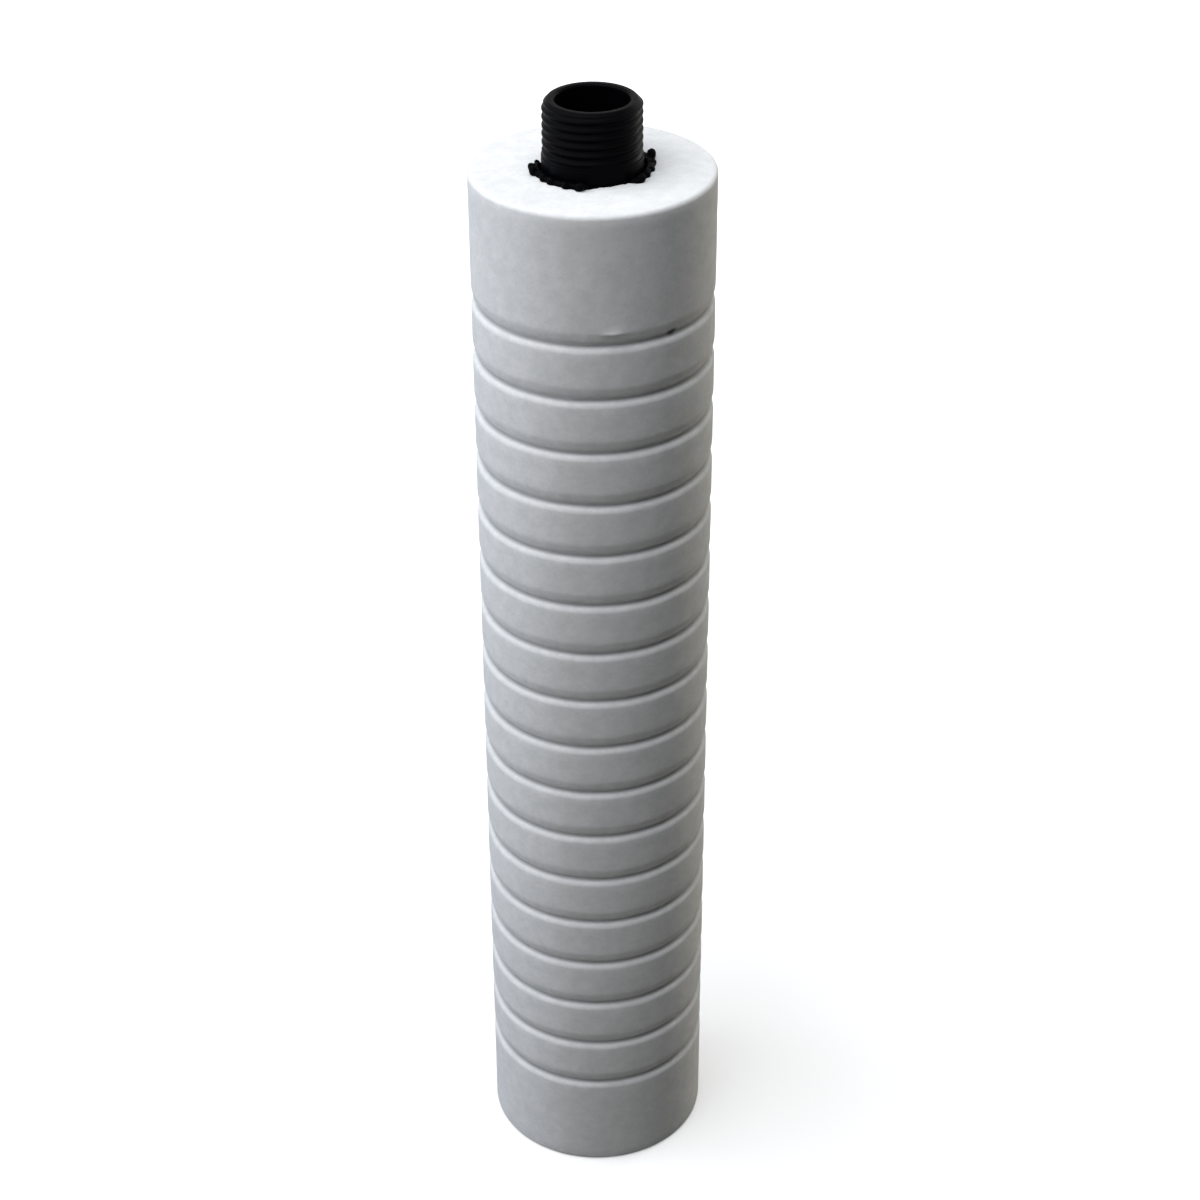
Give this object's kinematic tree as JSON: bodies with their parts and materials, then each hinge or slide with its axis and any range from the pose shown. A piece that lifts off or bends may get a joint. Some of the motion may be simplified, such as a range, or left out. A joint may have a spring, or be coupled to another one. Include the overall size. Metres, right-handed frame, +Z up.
{
  "type": "polypropylene filter cartridge",
  "caption": "Tall white cylinder of blown polypropylene fibre with grooves rolled round it, on a black core pipe whose open threaded nipple stands out of the top.",
  "frame": {"origin": "centre of the bottom face, on which the cartridge stands", "axes": "+Z up the cartridge's axis, from the closed bottom to the open nipple"},
  "size_m": [0.052, 0.052, 0.269],
  "materials": {
    "blown_fibre": "white blown fibre, dry and dull, with a slightly woolly skin",
    "core_plastic": "black moulded pipe with a satin thread",
    "net_plastic": "black extruded net, cut ragged",
    "plug_plastic": "black moulded, plain"
  },
  "bodies": {
    "root": {"filter_sleeve": "blown_fibre", "core_tube": "core_plastic", "drain_net": "net_plastic", "core_plug": "plug_plastic"}
  },
  "joints": []
}
